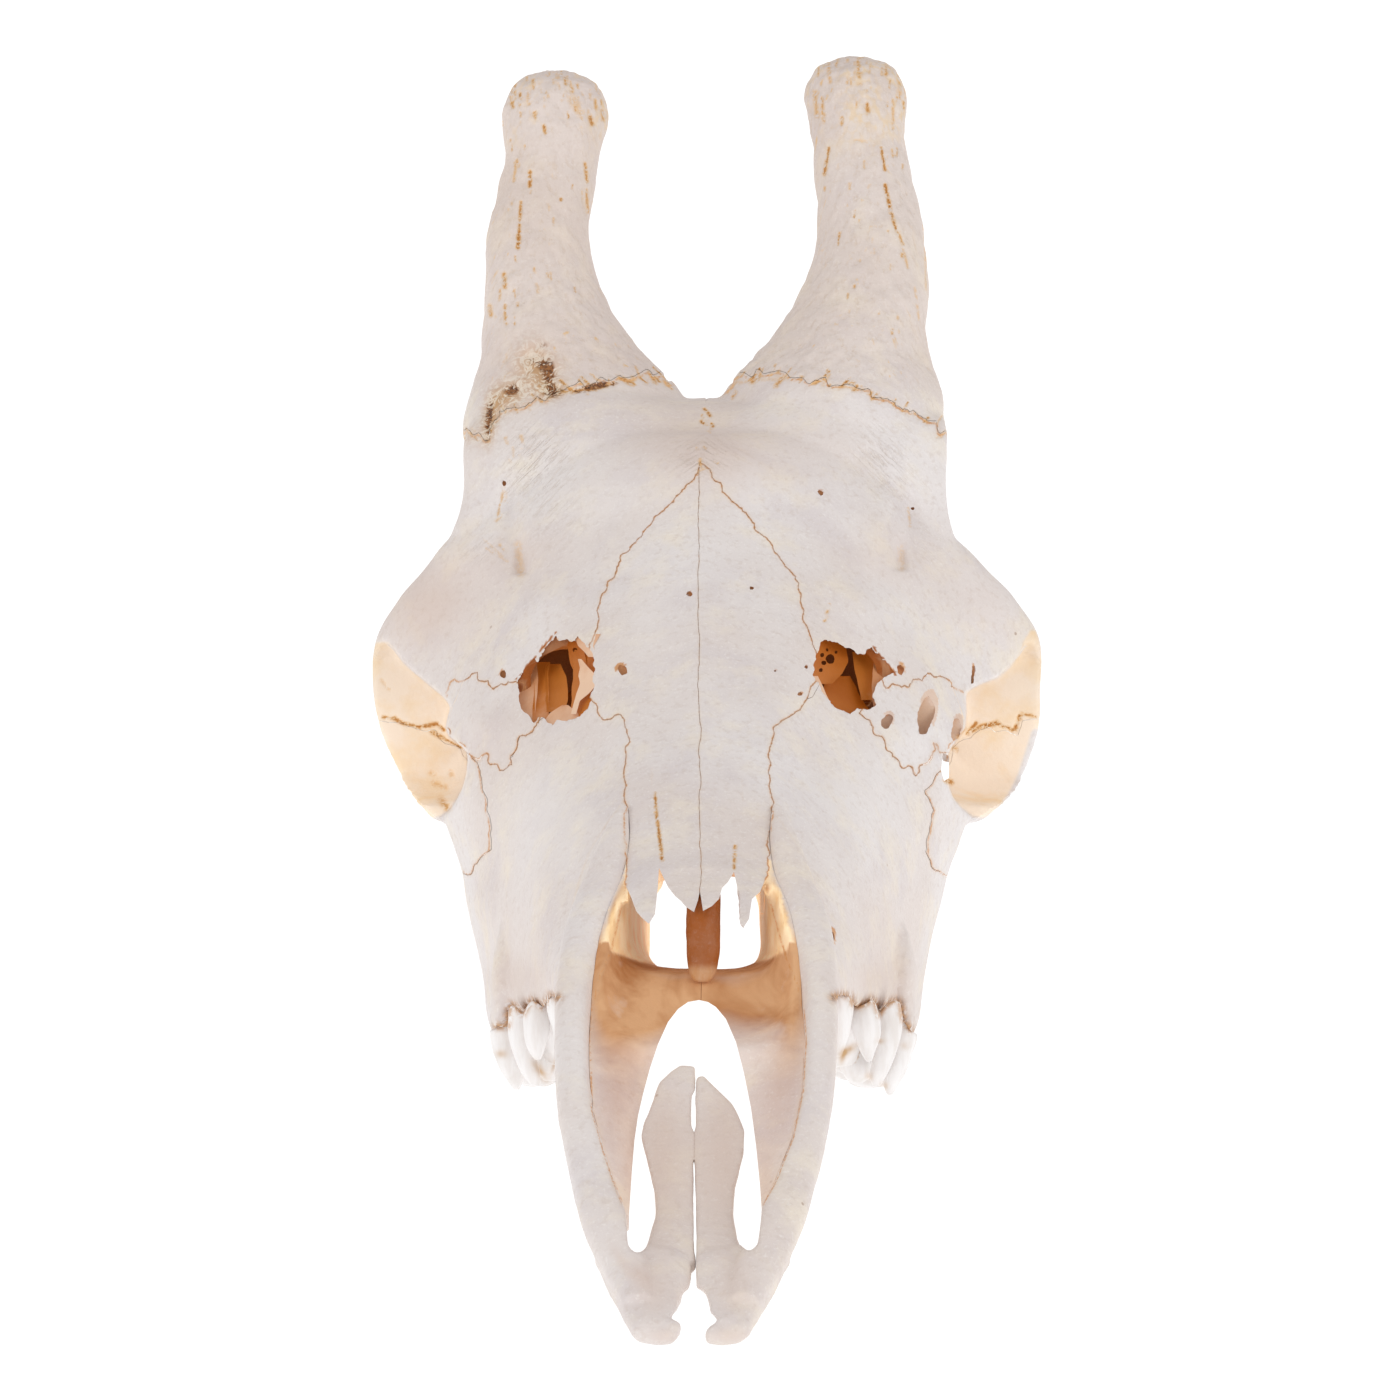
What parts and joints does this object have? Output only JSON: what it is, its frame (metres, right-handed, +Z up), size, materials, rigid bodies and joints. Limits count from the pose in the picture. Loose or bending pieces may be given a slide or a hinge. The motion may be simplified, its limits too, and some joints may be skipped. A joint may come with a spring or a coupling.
{
  "type": "giraffe skull",
  "caption": "Giraffe cranium without its lower jaw: long wedge face, wide eye sockets and two upright blunt ossicones, lying on its cheek teeth and condyles.",
  "frame": {"origin": "centre of the footprint of the resting skull, on the surface it lies on", "axes": "+Z up; -Y towards the tip of the snout and +Y towards the back of the head; +X to the animal's own left, which is the right of the picture"},
  "size_m": [0.239, 0.6024, 0.3226],
  "materials": {
    "bone": "matte",
    "ossicone": "matte",
    "inner_bone": "matte"
  },
  "bodies": {
    "root": {"cranium": "bone", "lacrimal_left": "bone", "lacrimal_right": "bone", "maxilla_left": "bone", "maxilla_right": "bone", "nasal_left": "bone", "nasal_right": "bone", "ossicone_left": "ossicone", "ossicone_right": "ossicone", "premaxilla_left": "bone", "premaxilla_right": "bone", "vomer": "inner_bone", "zygomatic_left": "bone", "zygomatic_right": "bone"}
  },
  "joints": []
}
